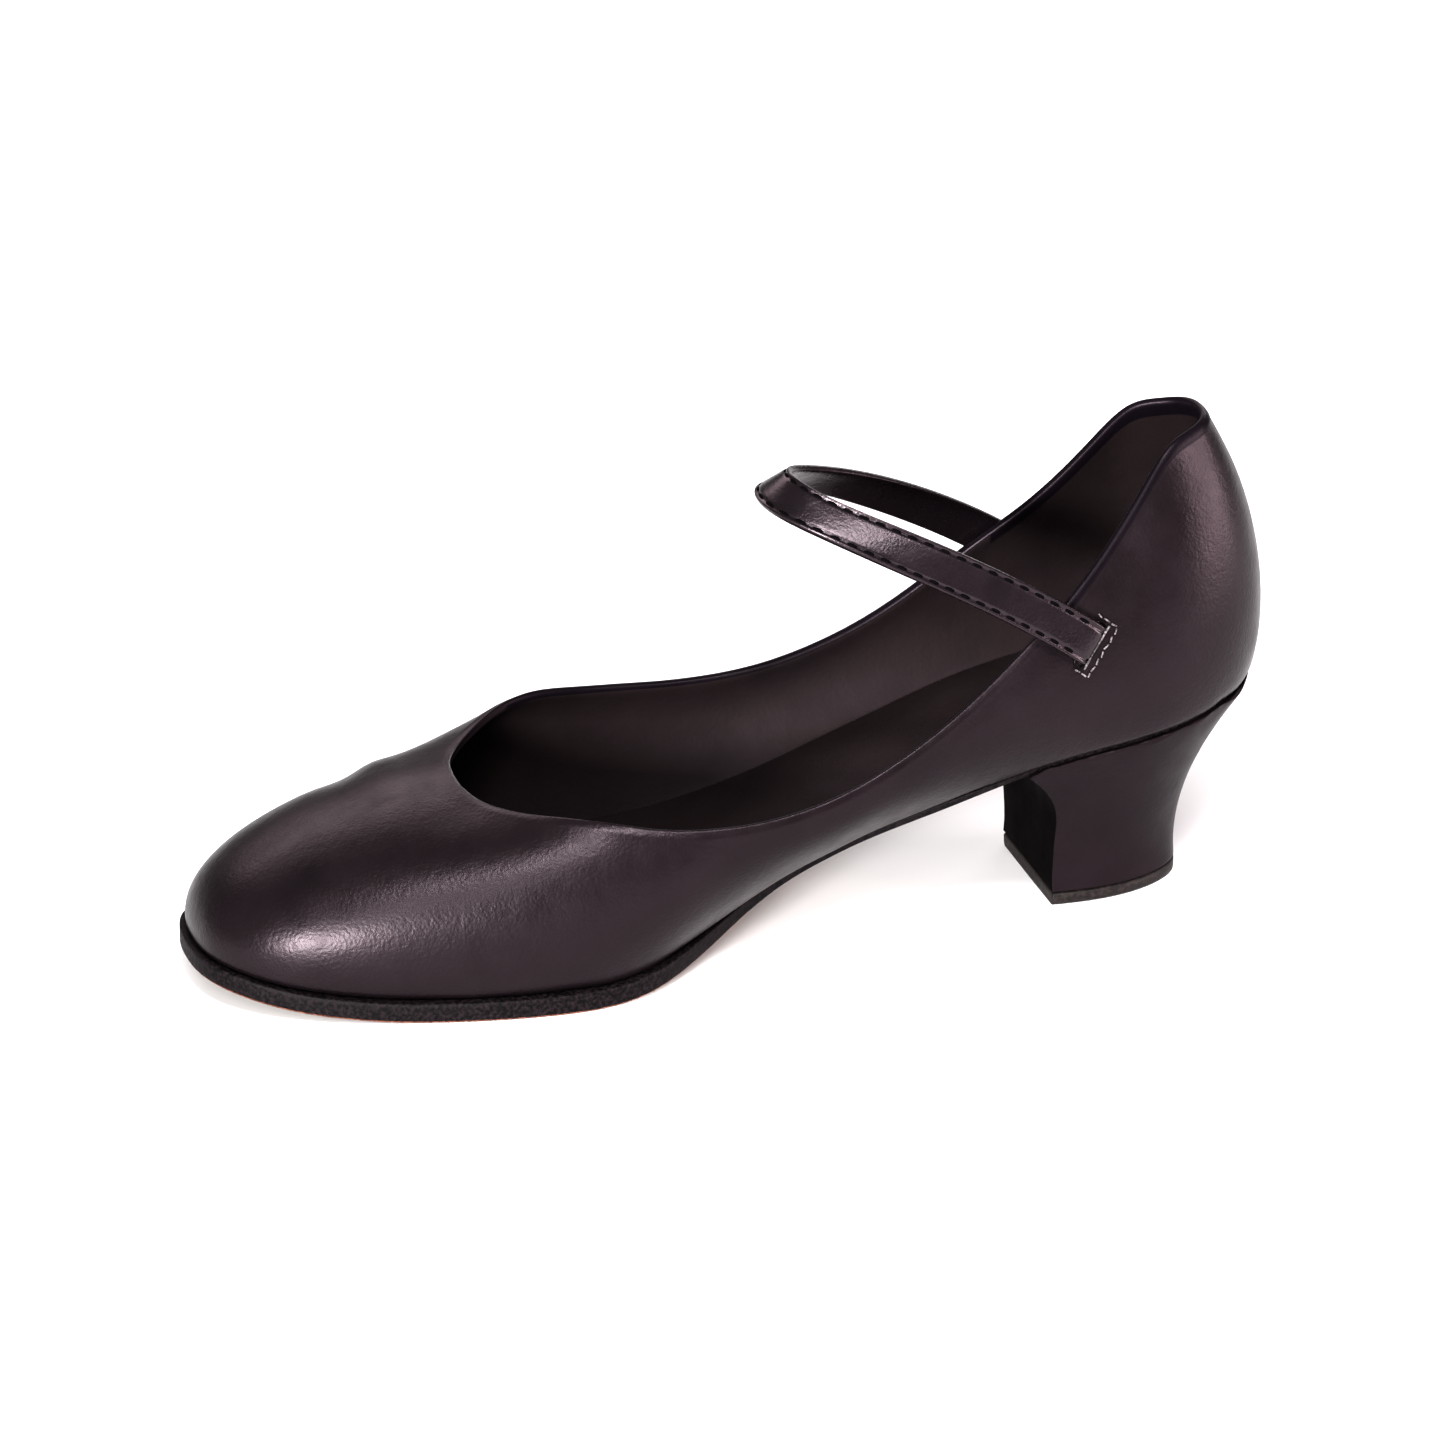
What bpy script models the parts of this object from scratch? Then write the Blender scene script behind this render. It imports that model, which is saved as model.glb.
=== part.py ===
"""A closed-toe character shoe with a low curved heel and one instep strap, for the right foot.

The shoe stands on its sole with its toe towards -Y, its inner (medial) side towards +X and up along +Z.
Inside this file a place on the shoe is (along, across, height) in metres: along runs forward from the back
of the last's bottom edge, across is positive on the medial side, and height is above the floor.
"""

import math

import bmesh
import bpy
import numpy as np
from mathutils import Vector

# Driving sizes, in metres
LAST_LENGTH = 0.2365
BALL_WIDTH = 0.074
SEAT_WIDTH = 0.050
SEAT_RISE = 0.0414
TOE_SPRING = 0.0050
BACK_HEIGHT = 0.0600
THROAT_HEIGHT = 0.0330
WALL = 0.0020
GAP = 0.0003
LASTING_MARGIN = 0.0075
BEAD_WIDTH = 0.0020
BEAD_RISE = 0.0003

# Sole and insole
SOLE_THICKNESS = 0.0046
WAIST_THICKNESS = 0.0021
SEAT_THICKNESS = 0.0014
SOLE_EDGE = 0.0016
SOLE_CHAMFER = 0.0005
INSOLE_THICKNESS = 0.0018
INSOLE_CLEARANCE = 0.0010

# Heel
HEEL_LIP = 0.0570
HEEL_BREAST = 0.0490
HEEL_BACK = 0.0165
HEEL_FOOT_WIDTH = 0.0320
HEEL_FLARE = 0.0009
HEEL_SHRINK = 0.0005
COVE_LEVEL = 0.54
TOP_PIECE_THICKNESS = 0.0030

# Instep strap
STRAP_WIDTH = 0.0095
STRAP_THICKNESS = 0.0018
STRAP_TAIL = 0.0080
STRAP_CREST_ALONG = 0.1070
STRAP_CREST_ACROSS = 0.0010
STRAP_CREST_HEIGHT = 0.0990
STRAP_CREST_SLOPE = math.radians(36)
STRAP_SIDE_PULL = 0.0310
STRAP_CREST_PULL = 0.0175

# How finely the curved pieces are divided
RIBS_PER_SIDE = 42
HEEL_LEVELS = 12
TAIL_STEPS = 4
ARCH_STEPS = 22

# Half widths of the last's bottom, as shares of the ball width
# along (share of the last), medial, lateral
BOTTOM_WIDTHS = (
    (0.00, 0.335, 0.335),
    (0.12, 0.342, 0.342),
    (0.24, 0.332, 0.335),
    (0.30, 0.308, 0.335),
    (0.36, 0.262, 0.345),
    (0.42, 0.220, 0.365),
    (0.47, 0.218, 0.395),
    (0.52, 0.285, 0.435),
    (0.57, 0.380, 0.475),
    (0.62, 0.468, 0.505),
    (0.68, 0.503, 0.522),
    (0.75, 0.485, 0.525),
    (0.82, 0.450, 0.515),
    (0.90, 0.425, 0.490),
    (1.00, 0.410, 0.460),
)
HEEL_ROUND = 0.150
TOE_ROUND = 0.270
HEEL_BLUNTNESS = 2.15
TOE_BLUNTNESS = 2.60

# Side profile of the last's bottom: shares of the seat rise and of the toe spring
# along (share of the last), seat, toe
BOTTOM_PROFILE = (
    (0.00, 1.000, 0.00),
    (0.10, 0.900, 0.00),
    (0.235, 0.768, 0.00),
    (0.36, 0.510, 0.00),
    (0.46, 0.265, 0.00),
    (0.56, 0.078, 0.00),
    (0.65, 0.000, 0.00),
    (0.82, 0.000, 0.00),
    (0.91, 0.000, 0.28),
    (1.00, 0.000, 1.00),
)

# Sole thickness and overhang: shares of each thickness and of the edge's overhang
# along (share of the last), fore, waist, seat, overhang
SOLE_SECTIONS = (
    (0.00, 0.0, 0.0, 1.0, -0.5),
    (0.24, 0.0, 0.0, 1.0, -0.5),
    (0.32, 0.0, 0.8, 0.2, -0.8),
    (0.44, 0.1, 0.9, 0.0, -0.8),
    (0.53, 0.7, 0.3, 0.0, 0.2),
    (0.60, 1.0, 0.0, 0.0, 0.9),
    (0.80, 1.0, 0.0, 0.0, 1.0),
    (1.00, 1.0, 0.0, 0.0, 0.7),
)

# The upper's ribs, each from the bottom edge up to the topline.
# foot: the bottom end's station, share of the last
# top: the topline's station, share of the last; across: share of the ball width
# back, throat: rise of the topline above the bottom edge, shares of the back height and the throat height
# swell, lift: the lower handle, outward as a share of the ball width and up as a share of the rib's rise
# reach, drop: the upper handle, outward and down, likewise
RIB_COLUMNS = ("foot", "top", "across", "back", "throat", "swell", "lift", "reach", "drop")
MEDIAL_RIBS = (
    (0.000, 0.046, 0.000, 1.000, 0.00, 0.070, 0.22, 0.180, 0.32),
    (0.035, 0.060, 0.110, 1.008, 0.00, 0.070, 0.24, 0.165, 0.32),
    (0.068, 0.080, 0.148, 1.014, 0.00, 0.075, 0.26, 0.148, 0.32),
    (0.096, 0.101, 0.182, 1.000, 0.00, 0.080, 0.28, 0.130, 0.32),
    (0.128, 0.127, 0.216, 0.890, 0.00, 0.080, 0.29, 0.110, 0.30),
    (0.165, 0.168, 0.265, 0.715, 0.00, 0.080, 0.30, 0.090, 0.30),
    (0.220, 0.216, 0.325, 0.580, 0.00, 0.085, 0.30, 0.070, 0.30),
    (0.320, 0.312, 0.390, 0.410, 0.00, 0.130, 0.28, 0.045, 0.30),
    (0.430, 0.420, 0.440, 0.370, 0.00, 0.180, 0.26, 0.040, 0.32),
    (0.550, 0.530, 0.470, 0.250, 0.40, 0.120, 0.32, 0.060, 0.30),
    (0.680, 0.630, 0.430, 0.120, 0.82, 0.060, 0.40, 0.090, 0.20),
    (0.810, 0.700, 0.300, 0.040, 0.98, 0.050, 0.48, 0.180, 0.12),
    (0.930, 0.740, 0.140, 0.000, 0.97, 0.060, 0.54, 0.310, 0.08),
    (1.000, 0.750, -0.020, 0.000, 0.90, 0.050, 0.55, 0.400, 0.06),
)
LATERAL_RIBS = (
    (0.930, 0.740, -0.180, 0.000, 0.99, 0.050, 0.51, 0.310, 0.07),
    (0.810, 0.700, -0.335, 0.040, 1.03, 0.045, 0.42, 0.180, 0.11),
    (0.680, 0.630, -0.455, 0.120, 0.94, 0.050, 0.38, 0.105, 0.18),
    (0.550, 0.530, -0.480, 0.250, 0.52, 0.050, 0.35, 0.060, 0.30),
    (0.430, 0.420, -0.445, 0.370, 0.06, 0.070, 0.30, 0.050, 0.30),
    (0.320, 0.312, -0.390, 0.410, 0.00, 0.080, 0.30, 0.050, 0.30),
    (0.220, 0.216, -0.325, 0.580, 0.00, 0.085, 0.30, 0.070, 0.30),
    (0.165, 0.168, -0.265, 0.715, 0.00, 0.080, 0.30, 0.090, 0.30),
    (0.128, 0.127, -0.216, 0.890, 0.00, 0.080, 0.29, 0.110, 0.30),
    (0.096, 0.101, -0.182, 1.000, 0.00, 0.080, 0.28, 0.130, 0.32),
    (0.068, 0.080, -0.148, 1.014, 0.00, 0.075, 0.26, 0.148, 0.32),
    (0.035, 0.060, -0.110, 1.008, 0.00, 0.070, 0.24, 0.165, 0.32),
)
# Where rows of the wall's grid lie, as shares of the way up to the bead
RIB_ROWS = (0.0, 0.09, 0.20, 0.33, 0.46, 0.59, 0.72, 0.85)

# The strap's middle line on the wall, from its slot to where it leaves the topline.
# Each end is a rib, named by its foot's share of the last, and a share of that rib.
SLOT_PLACE = (0.191, 0.682)
LEAVING_PLACE = (0.234, 1.00)


def steady_curve(stations, values):
    """A smooth curve through the points that never swings past them, as a function of the station."""
    x = np.asarray(stations, float)
    y = np.asarray(values, float)
    h = np.diff(x)
    slope = np.diff(y) / h
    grade = np.zeros_like(y)
    for i in range(1, len(x) - 1):
        if slope[i - 1] * slope[i] > 0:
            w1 = 2 * h[i] + h[i - 1]
            w2 = h[i] + 2 * h[i - 1]
            grade[i] = (w1 + w2) / (w1 / slope[i - 1] + w2 / slope[i])
    grade[0] = slope[0]
    grade[-1] = slope[-1]

    def curve(s):
        s = min(max(s, x[0]), x[-1])
        i = min(int(np.searchsorted(x, s, side="right")) - 1, len(h) - 1)
        t = (s - x[i]) / h[i]
        return (
            y[i] * (1 + 2 * t) * (1 - t) ** 2
            + grade[i] * h[i] * t * (1 - t) ** 2
            + y[i + 1] * t * t * (3 - 2 * t)
            + grade[i + 1] * h[i] * t * t * (t - 1)
        )

    return curve


def closed_curve(angles, values):
    """A smooth closed curve through the values at these angles, from 0 to a full turn."""
    x = np.append(angles, angles[0] + 2 * math.pi)
    y = np.append(values, values[0])
    h = np.diff(x)
    n = len(h)
    system = np.zeros((n, n))
    right = np.zeros(n)
    for i in range(n):
        before = h[i - 1]
        system[i, i - 1] += before
        system[i, i] += 2 * (before + h[i])
        system[i, (i + 1) % n] += h[i]
        right[i] = 6 * ((y[i + 1] - y[i]) / h[i] - (y[i] - y[i - 1 if i else n - 1]) / before)
    bend = np.linalg.solve(system, right)
    bend = np.append(bend, bend[0])

    def curve(angle):
        s = (angle - x[0]) % (2 * math.pi) + x[0]
        i = min(int(np.searchsorted(x, s, side="right")) - 1, n - 1)
        a = x[i + 1] - s
        b = s - x[i]
        return (
            (bend[i] * a**3 + bend[i + 1] * b**3) / (6 * h[i])
            + (y[i] / h[i] - bend[i] * h[i] / 6) * a
            + (y[i + 1] / h[i] - bend[i + 1] * h[i] / 6) * b
        )

    return curve


def column(table, index):
    return steady_curve([row[0] for row in table], [row[index] for row in table])


medial_width = column(BOTTOM_WIDTHS, 1)
lateral_width = column(BOTTOM_WIDTHS, 2)
seat_share = column(BOTTOM_PROFILE, 1)
toe_share = column(BOTTOM_PROFILE, 2)
fore_share = column(SOLE_SECTIONS, 1)
waist_share = column(SOLE_SECTIONS, 2)
back_share = column(SOLE_SECTIONS, 3)
overhang_share = column(SOLE_SECTIONS, 4)


def end_rounding(share):
    """1 along the shoe's middle, falling to 0 at the heel's and the toe's end as a rounded outline does."""
    if share < HEEL_ROUND:
        short = 1 - share / HEEL_ROUND
        return max(0.0, 1 - short**HEEL_BLUNTNESS) ** (1 / HEEL_BLUNTNESS)
    if share > 1 - TOE_ROUND:
        short = 1 - (1 - share) / TOE_ROUND
        return max(0.0, 1 - short**TOE_BLUNTNESS) ** (1 / TOE_BLUNTNESS)
    return 1.0


def sole_top(along):
    """Height of the last's bottom, where the upper and the insole stand on the outsole."""
    share = along / LAST_LENGTH
    return SOLE_THICKNESS + GAP + SEAT_RISE * seat_share(share) + TOE_SPRING * toe_share(share)


def sole_depth(along):
    share = along / LAST_LENGTH
    return (
        SOLE_THICKNESS * fore_share(share)
        + WAIST_THICKNESS * waist_share(share)
        + SEAT_THICKNESS * back_share(share)
    )


def toe_drift(share):
    """The outline's middle moves to the lateral side a little at the toe's tip."""
    return -0.02 * BALL_WIDTH * max(0.0, (share - 0.7) / 0.3) ** 2


def bottom_edge(angle):
    """(along, across) on the last's bottom edge. The angle is 0 at the back, half a turn at the toe, medial first."""
    share = (1 - math.cos(angle)) / 2
    side = 1 if math.sin(angle) >= 0 else -1
    width = medial_width(share) if side > 0 else lateral_width(share)
    widening = SEAT_WIDTH / (0.68 * BALL_WIDTH)
    blend = min(1.0, share / 0.3)
    width *= BALL_WIDTH * (widening * (1 - blend) + blend)
    return np.array([share * LAST_LENGTH, side * width * end_rounding(share) + toe_drift(share)])


def outward(curve, angle, step=0.01):
    """The outward direction in plan of a closed curve that runs from the back by the medial side."""
    run = curve(angle + step) - curve(angle - step)
    run /= np.linalg.norm(run)
    return np.array([-run[1], run[0]])


def rib_tables():
    rows = list(MEDIAL_RIBS) + list(LATERAL_RIBS)
    angles = []
    for i, row in enumerate(rows):
        angle = math.acos(1 - 2 * row[0])
        angles.append(angle if i < len(MEDIAL_RIBS) else 2 * math.pi - angle)
    return {
        name: closed_curve(angles, [row[i] for row in rows])
        for i, name in enumerate(RIB_COLUMNS)
        if name != "foot"
    }


RIB = rib_tables()


def topline_plan(angle):
    return np.array([RIB["top"](angle) * LAST_LENGTH, RIB["across"](angle) * BALL_WIDTH])


def rib_handles(angle):
    """The four control points of the upper's rib at this angle, bottom edge first."""
    foot_plan = bottom_edge(angle)
    top_plan = topline_plan(angle)
    foot_height = sole_top(foot_plan[0])
    rise = RIB["back"](angle) * BACK_HEIGHT + RIB["throat"](angle) * THROAT_HEIGHT
    foot_out = outward(bottom_edge, angle) * RIB["swell"](angle) * BALL_WIDTH
    top_out = outward(topline_plan, angle) * RIB["reach"](angle) * BALL_WIDTH
    foot = np.array([*foot_plan, foot_height])
    top = np.array([*top_plan, foot_height + rise])
    low = foot + np.array([*foot_out, RIB["lift"](angle) * rise])
    high = top + np.array([*top_out, -RIB["drop"](angle) * rise])
    return foot, low, high, top


def upper_point(angle, share):
    """A place on the upper's outer face: the angle picks the rib, the share runs from 0 at its foot to 1 on top."""
    foot, low, high, top = rib_handles(angle)
    rest = 1 - share
    return rest**3 * foot + 3 * rest**2 * share * low + 3 * rest * share**2 * high + share**3 * top


def upper_normal(angle, share, step=0.004):
    """The outward normal of the upper's outer face."""
    low = max(0.0, share - step)
    high = min(1.0, share + step)
    along_rib = upper_point(angle, high) - upper_point(angle, low)
    around = upper_point(angle + step, share) - upper_point(angle - step, share)
    normal = np.cross(along_rib, around)
    return normal / np.linalg.norm(normal)


def share_below_topline(angle, depth):
    """The share of the rib that lies this far below the topline."""
    high, top = rib_handles(angle)[2:]
    return 1 - depth / (3 * np.linalg.norm(top - high))


def in_world(place):
    along, across, height = place
    return Vector((across, -along, height))


def new_material(name, colour, roughness, metallic=0.0):
    material = bpy.data.materials.new(name)
    material.use_nodes = True
    shader = material.node_tree.nodes["Principled BSDF"]
    shader.inputs["Base Color"].default_value = (*colour, 1.0)
    shader.inputs["Roughness"].default_value = roughness
    shader.inputs["Metallic"].default_value = metallic
    return material


def finish_object(name, bm, material, smooth_angle=0.7):
    bmesh.ops.recalc_face_normals(bm, faces=bm.faces)
    mesh = bpy.data.meshes.new(name)
    bm.to_mesh(mesh)
    bm.free()
    mesh.shade_smooth()
    mesh.set_sharp_from_angle(angle=smooth_angle)
    mesh.materials.append(material)
    obj = bpy.data.objects.new(name, mesh)
    bpy.context.scene.collection.objects.link(obj)
    return obj


def add_rings(bm, rings):
    """Vertices for each ring, and a band of quads between each ring and the next."""
    placed = [[bm.verts.new(in_world(point)) for point in ring] for ring in rings]
    for lower, upper in zip(placed, placed[1:]):
        add_band(bm, lower, upper)
    return placed


def add_band(bm, lower, upper):
    count = len(lower)
    for i in range(count):
        j = (i + 1) % count
        bm.faces.new((lower[i], lower[j], upper[j], upper[i]))


def cap_with_strips(bm, ring, blunt_front):
    """Fills a ring that starts at the back's middle with strips across the shoe, so that it follows the profile."""
    count = len(ring)
    bm.faces.new((ring[0], ring[1], ring[-1]))
    last = count // 2 if blunt_front else count // 2 - 1
    for i in range(1, last):
        bm.faces.new((ring[i], ring[i + 1], ring[count - i - 1], ring[count - i]))
    if not blunt_front:
        bm.faces.new((ring[last], ring[last + 1], ring[last + 2]))


def capped_solid(name, rings, material, blunt_front=False):
    bm = bmesh.new()
    placed = add_rings(bm, rings)
    cap_with_strips(bm, placed[0], blunt_front)
    cap_with_strips(bm, placed[-1], blunt_front)
    return finish_object(name, bm, material)


def edge_angles():
    count = 2 * RIBS_PER_SIDE
    return [2 * math.pi * i / count for i in range(count)]


def offset_edge(angle, distance):
    return bottom_edge(angle) + outward(bottom_edge, angle) * distance


def make_upper(material):
    """The hollow upper: its outer face, a rounded topline, its inner face and the margin lasted under the foot."""
    angles = edge_angles()
    outer = []
    inner = []
    for inset in (LASTING_MARGIN, LASTING_MARGIN / 2):
        ring = [offset_edge(a, -inset) for a in angles]
        outer.append([np.array([*p, sole_top(p[0])]) for p in ring])
        inner.append([np.array([*p, sole_top(p[0]) + WALL]) for p in ring])
    foot_ring = [offset_edge(a, -0.8 * WALL) for a in angles]
    outer.append([upper_point(a, 0.0) for a in angles])
    inner.append([np.array([*p, sole_top(p[0]) + WALL]) for p in foot_ring])
    under_bead = [share_below_topline(a, BEAD_WIDTH + BEAD_RISE) for a in angles]
    for row in RIB_ROWS[1:]:
        points = [upper_point(a, row * s) for a, s in zip(angles, under_bead)]
        outer.append(points)
        inner.append([p - WALL * upper_normal(a, row * s) for a, s, p in zip(angles, under_bead, points)])
    for depth, rise in ((BEAD_WIDTH + BEAD_RISE, 0.0), (BEAD_WIDTH, BEAD_RISE), (0.0, 0.4 * BEAD_RISE)):
        shares = [share_below_topline(a, depth) for a in angles]
        points = [upper_point(a, s) for a, s in zip(angles, shares)]
        normals = [upper_normal(a, s) for a, s in zip(angles, shares)]
        outer.append([p + rise * n for p, n in zip(points, normals)])
        if depth != BEAD_WIDTH:
            inner.append([p - WALL * n for p, n in zip(points, normals)])
    rim = [(o + i) / 2 + np.array([0, 0, 0.3 * WALL]) for o, i in zip(outer[-1], inner[-1])]
    bm = bmesh.new()
    placed = add_rings(bm, [*outer, rim, *reversed(inner)])
    add_band(bm, placed[-1], placed[0])
    return finish_object("upper", bm, material)


def plate_ring(distance, height):
    """A ring along the bottom edge, moved outward by distance(along share) and set at height(along)."""
    ring = []
    for angle in edge_angles():
        share = bottom_edge(angle)[0] / LAST_LENGTH
        plan = offset_edge(angle, distance(share))
        ring.append(np.array([*plan, height(plan[0])]))
    return ring


def make_outsole(material):
    def overhang(share):
        return SOLE_EDGE * overhang_share(share)

    def chamfered(share):
        return overhang(share) - SOLE_CHAMFER

    def top(along):
        return sole_top(along) - GAP

    def bottom(along):
        return top(along) - sole_depth(along)

    def upper_edge(along):
        return top(along) - 0.5 * SOLE_CHAMFER

    def lower_edge(along):
        return bottom(along) + SOLE_CHAMFER

    rings = [
        plate_ring(chamfered, bottom),
        plate_ring(overhang, lower_edge),
        plate_ring(overhang, upper_edge),
        plate_ring(chamfered, top),
    ]
    return capped_solid("outsole", rings, material)


def make_insole(material):
    def inset(share):
        return -(WALL + INSOLE_CLEARANCE)

    def bottom(along):
        return sole_top(along) + WALL + GAP

    def top(along):
        return bottom(along) + INSOLE_THICKNESS

    return capped_solid("insole", [plate_ring(inset, bottom), plate_ring(inset, top)], material)


def heel_ring(level):
    """One outline of the heel, from level 0 at its foot to level 1 under the sole."""
    back_lean = level**2.4
    side_lean = level**1.7
    flare = HEEL_FLARE * (1 - min(1.0, level / 0.16)) ** 2
    cove = max(0.0, (level - COVE_LEVEL) / (1 - COVE_LEVEL))
    front = HEEL_BREAST + (HEEL_LIP - HEEL_BREAST) * cove**1.7
    medial = []
    lateral = []
    steps = RIBS_PER_SIDE // 2
    for i in range(steps + 1):
        turn = math.sin(math.pi / 2 * i / steps) ** 2
        top_along = HEEL_LIP * turn
        foot_along = HEEL_BACK + (HEEL_BREAST - HEEL_BACK) * turn
        along = foot_along * (1 - back_lean) + top_along * back_lean
        along = min(along, front) if i < steps else front
        back_end = (1 - turn) ** 2.3
        foot_half = HEEL_FOOT_WIDTH / 2 * (1 - back_end) ** (1 / 2.3) * (1 + 0.06 * math.sin(math.pi * turn))
        angle = math.acos(1 - 2 * top_along / LAST_LENGTH)
        for side, points in ((1, medial), (-1, lateral)):
            top_half = abs(bottom_edge(side * angle)[1]) - HEEL_SHRINK if i else 0.0
            half = foot_half * (1 - side_lean) + top_half * side_lean + (flare if i else 0.0)
            roof = sole_top(along) - GAP - sole_depth(along) - GAP
            floor = TOP_PIECE_THICKNESS + GAP
            height = floor + (roof - floor) * level
            points.append(np.array([along - (flare if i == 0 else 0), side * half, height]))
    return medial + lateral[:0:-1]


def make_heel(material):
    rings = [heel_ring(i / HEEL_LEVELS) for i in range(HEEL_LEVELS + 1)]
    return capped_solid("heel", rings, material, blunt_front=True)


def make_top_piece(material):
    foot = heel_ring(0.0)
    rings = [
        [np.array([p[0], p[1], 0.0]) for p in foot],
        [np.array([p[0], p[1], TOP_PIECE_THICKNESS]) for p in foot],
    ]
    return capped_solid("heel_top_piece", rings, material, blunt_front=True)


def rib_angle(side, share):
    """The angle of the rib whose foot is at this share of the last, on the medial (1) or lateral (-1) side."""
    return side * math.acos(1 - 2 * share)


def wall_track(side, t):
    """The strap's middle line on the wall: t is 0 at the slot and 1 where it leaves the topline."""
    slot_angle = rib_angle(side, SLOT_PLACE[0])
    leaving_angle = rib_angle(side, LEAVING_PLACE[0])
    angle = slot_angle + (leaving_angle - slot_angle) * t
    share = SLOT_PLACE[1] + (LEAVING_PLACE[1] - SLOT_PLACE[1]) * t
    return angle, share


def wall_frame(side, t, step=0.02):
    """A place on the wall under the strap, its outward normal, and the strap's direction towards the instep."""
    place = upper_point(*wall_track(side, t))
    normal = upper_normal(*wall_track(side, t))
    run = upper_point(*wall_track(side, t + step)) - place
    run -= normal * (run @ normal)
    return place, normal, run / np.linalg.norm(run)


def sideways(normal, run):
    """The strap's width direction, on the side that faces the toe and the floor."""
    width = np.cross(normal, run)
    width /= np.linalg.norm(width)
    return width if width[0] - width[2] > 0 else -width


def strap_half(side):
    """The strap's sections from its inner tail to its crest, each a middle, a width and a thickness vector."""
    lift = STRAP_THICKNESS / 2 + GAP
    slot, slot_normal, slot_run = wall_frame(side, 0.0)
    wall_length = np.linalg.norm(upper_point(*wall_track(side, 1.0)) - slot)
    sections = []

    def add(middle, normal, run, thickness):
        sections.append((middle, sideways(normal, run) * STRAP_WIDTH / 2, thickness))

    for i in range(TAIL_STEPS):
        reach = STRAP_TAIL + (STRAP_THICKNESS - STRAP_TAIL) * i / (TAIL_STEPS - 1)
        place, normal, run = wall_frame(side, -reach / wall_length)
        add(place - normal * (WALL + lift), normal, run, normal * STRAP_THICKNESS / 2)
    mitre = (slot_normal - slot_run) * STRAP_THICKNESS / 2
    start = slot + slot_normal * lift
    add(slot - slot_normal * (WALL + lift), slot_normal, slot_run, mitre)
    add(start, slot_normal, slot_run, mitre)

    crest = np.array([STRAP_CREST_ALONG, STRAP_CREST_ACROSS, STRAP_CREST_HEIGHT])
    crest_normal = np.array([math.sin(STRAP_CREST_SLOPE), 0, math.cos(STRAP_CREST_SLOPE)])
    low_handle = start + slot_run * STRAP_SIDE_PULL
    high_handle = crest + np.array([0, side * STRAP_CREST_PULL, 0])
    for i in range(1, ARCH_STEPS + 1):
        t = i / ARCH_STEPS
        rest = 1 - t
        middle = rest**3 * start + 3 * rest**2 * t * low_handle + 3 * rest * t**2 * high_handle + t**3 * crest
        run = rest**2 * (low_handle - start) + 2 * rest * t * (high_handle - low_handle) + t**2 * (crest - high_handle)
        run /= np.linalg.norm(run)
        turn = t * t * (3 - 2 * t)
        normal = slot_normal * (1 - turn) + crest_normal * turn
        normal -= run * (normal @ run)
        normal /= np.linalg.norm(normal)
        add(middle, normal, run, normal * STRAP_THICKNESS / 2)
    return sections


def make_strap(material):
    """One band from its tail inside the medial wall, out through a slot, over the instep and down the same way."""
    sections = strap_half(1) + strap_half(-1)[-2::-1]
    rings = []
    for middle, width, thickness in sections:
        rings.append([
            middle + width + thickness,
            middle - width + thickness,
            middle - width - thickness,
            middle + width - thickness,
        ])
    bm = bmesh.new()
    placed = add_rings(bm, rings)
    bm.faces.new(placed[0])
    bm.faces.new(placed[-1])
    return finish_object("instep_strap", bm, material, smooth_angle=0.5)


def cut_slot(upper, side):
    """Cuts the opening through the wall that the strap's end passes through."""
    slot, normal, run = wall_frame(side, 0.0)
    width = sideways(normal, run)
    bm = bmesh.new()
    bmesh.ops.create_cube(bm, size=1.0)
    for vertex in bm.verts:
        place = slot - normal * WALL / 2
        place = place + run * vertex.co.x * (STRAP_THICKNESS + 2 * GAP)
        place = place + width * vertex.co.y * (STRAP_WIDTH + 2 * GAP)
        place = place + normal * vertex.co.z * 3 * WALL
        vertex.co = in_world(place)
    bm.normal_update()
    bmesh.ops.recalc_face_normals(bm, faces=bm.faces)
    mesh = bpy.data.meshes.new("slot_cutter")
    bm.to_mesh(mesh)
    bm.free()
    cutter = bpy.data.objects.new("slot_cutter", mesh)
    bpy.context.scene.collection.objects.link(cutter)
    cut = upper.modifiers.new("slot", "BOOLEAN")
    cut.operation = "DIFFERENCE"
    cut.solver = "EXACT"
    cut.object = cutter
    bpy.context.view_layer.update()
    shaped = bpy.data.meshes.new_from_object(upper.evaluated_get(bpy.context.evaluated_depsgraph_get()))
    upper.modifiers.clear()
    old = upper.data
    upper.data = shaped
    bpy.data.meshes.remove(old)
    bpy.data.objects.remove(cutter, do_unlink=True)
    shaped.name = "upper"


def clear_scene():
    for obj in list(bpy.data.objects):
        bpy.data.objects.remove(obj, do_unlink=True)


def centre_on_floor(objects):
    """Moves the meshes so that the middle of the shoe's box is over the origin."""
    corners = np.array([v.co for obj in objects for v in obj.data.vertices])
    middle = (corners.min(axis=0) + corners.max(axis=0)) / 2
    for obj in objects:
        for vertex in obj.data.vertices:
            vertex.co.x -= middle[0]
            vertex.co.y -= middle[1]


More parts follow.
